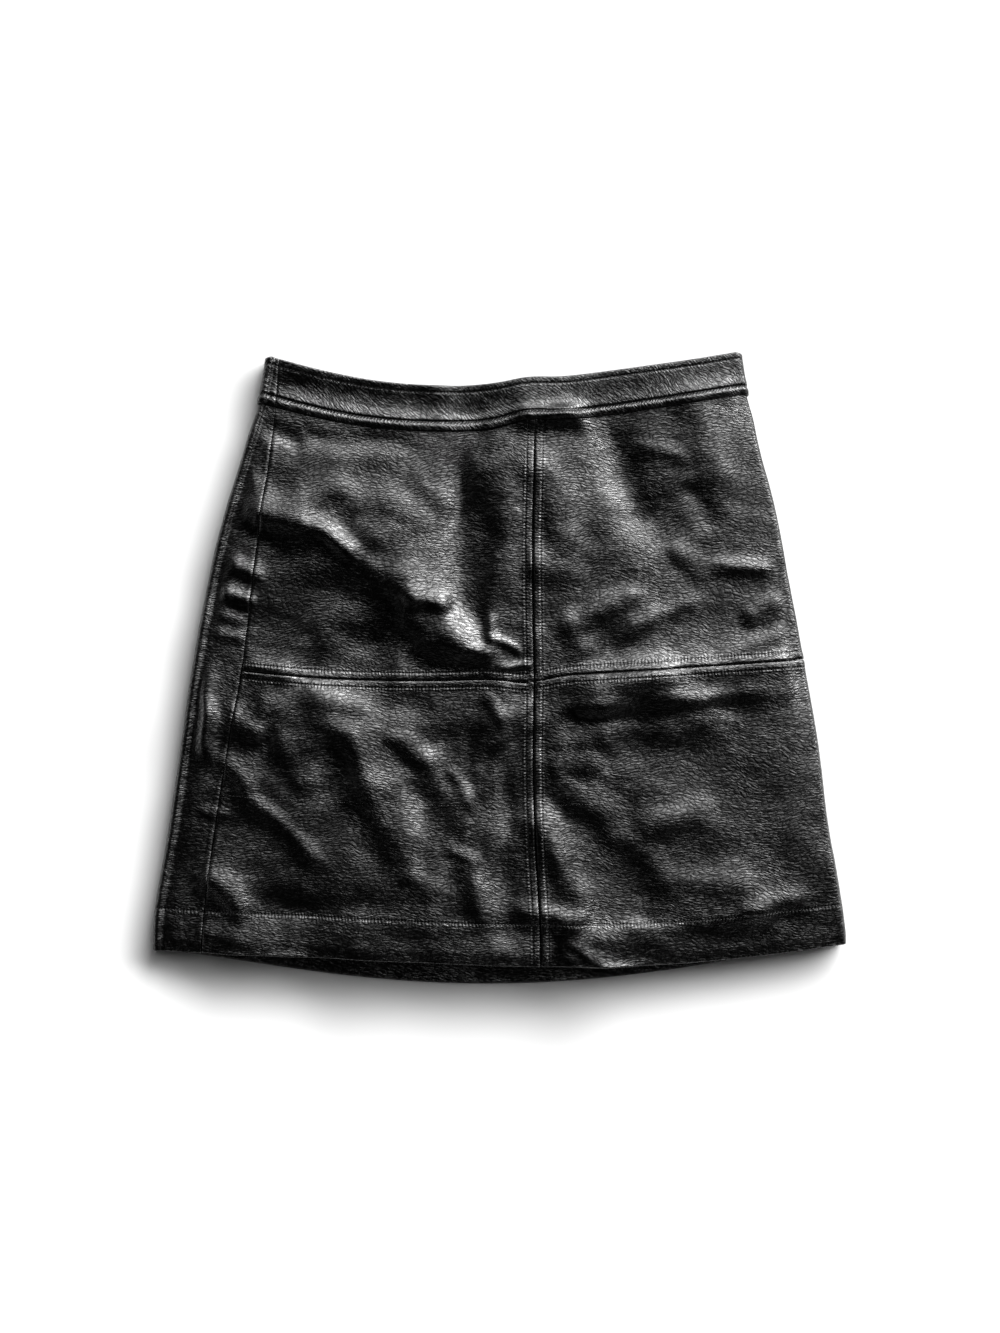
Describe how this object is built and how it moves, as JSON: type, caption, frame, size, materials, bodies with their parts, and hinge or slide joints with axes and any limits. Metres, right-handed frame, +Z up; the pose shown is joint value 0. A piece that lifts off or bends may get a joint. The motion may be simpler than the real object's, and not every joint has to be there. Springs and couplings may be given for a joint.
{
  "type": "leather mini skirt",
  "caption": "A-line mini skirt lying flat: panelled front with topstitched centre and cross seams, plain back, shaped waistband, turned-up hem and a hidden side zip with a hinged pull tab.",
  "frame": {"origin": "on the surface the skirt lies on, under the middle of its outline", "axes": "+Z up, away from that surface; +Y towards the waist; +X towards the wearer's left side"},
  "size_m": [0.4996, 0.4538, 0.0176],
  "materials": {
    "leather": "black grained leather, glossy",
    "zip_tape": "black woven tape with a closed coil",
    "zip_metal": "black lacquered metal, satin"
  },
  "bodies": {
    "skirt": {"waistband_front": "leather", "waistband_back": "leather", "front_upper_left": "leather", "front_upper_right": "leather", "front_lower_left": "leather", "front_lower_right": "leather", "back_panel": "leather", "zip_tape": "zip_tape", "zip_slider": "zip_metal"},
    "pull_tab": {"zip_pull_tab": "zip_metal"}
  },
  "joints": [
    {"name": "pull_tab_hinge", "type": "hinge", "parent": "skirt", "child": "pull_tab", "pos_m": [0.14507, 0.21962, 0.00175], "axis": [0.9839, 0.1786, 0], "range_deg": [0, 180]}
  ]
}
